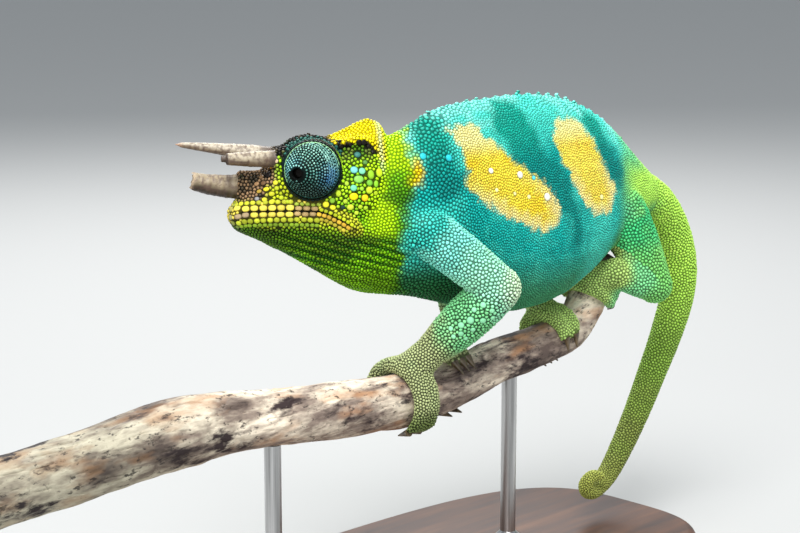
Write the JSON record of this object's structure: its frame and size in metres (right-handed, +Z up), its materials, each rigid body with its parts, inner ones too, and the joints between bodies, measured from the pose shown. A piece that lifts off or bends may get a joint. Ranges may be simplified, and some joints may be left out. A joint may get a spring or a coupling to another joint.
{
  "type": "three-horned chameleon on a branch",
  "caption": "Life-size still model of a male chameleon with horns on snout and brows, gripping a short cut branch on a flat stand with rods.",
  "frame": {"origin": "centre of the stand base's flat underside, on the surface it stands on", "axes": "+Z up, +X along the branch towards the tail, -Y towards the animal's left side"},
  "size_m": [0.2427, 0.08, 0.1276],
  "materials": {
    "head_skin": "fine scales, yellow-green, satin",
    "body_skin": "fine scales, turquoise with yellow patches, satin",
    "limb_skin": "fine scales, mint green, satin",
    "tail_skin": "fine scales, lime green, satin",
    "turret_skin": "fine granules, dark blue-green, satin",
    "eyeball": "wet gloss",
    "horn": "worn keratin, beige with dark flecks",
    "bark": "thin weathered bark",
    "stand_wood": "dark stained, satin",
    "stand_steel": "brushed"
  },
  "bodies": {
    "root": {"branch": "bark", "eye_turret_left": "turret_skin", "eye_turret_right": "turret_skin", "eyeball_left": "eyeball", "eyeball_right": "eyeball", "foot_left": "limb_skin", "foot_right": "limb_skin", "forearm_left": "limb_skin", "forearm_right": "limb_skin", "hand_left": "limb_skin", "hand_right": "limb_skin", "head": "head_skin", "horn_brow_left": "horn", "horn_brow_right": "horn", "horn_nose": "horn", "jaw": "head_skin", "neck": "head_skin", "shank_left": "limb_skin", "shank_right": "limb_skin", "stand_base": "stand_wood", "stand_rod_front": "stand_steel", "stand_rod_rear": "stand_steel", "tail_base": "tail_skin", "tail_lower": "tail_skin", "tail_tip": "tail_skin", "tail_upper": "tail_skin", "thigh_left": "limb_skin", "thigh_right": "limb_skin", "torso": "body_skin", "upper_arm_left": "limb_skin", "upper_arm_right": "limb_skin"}
  },
  "joints": []
}
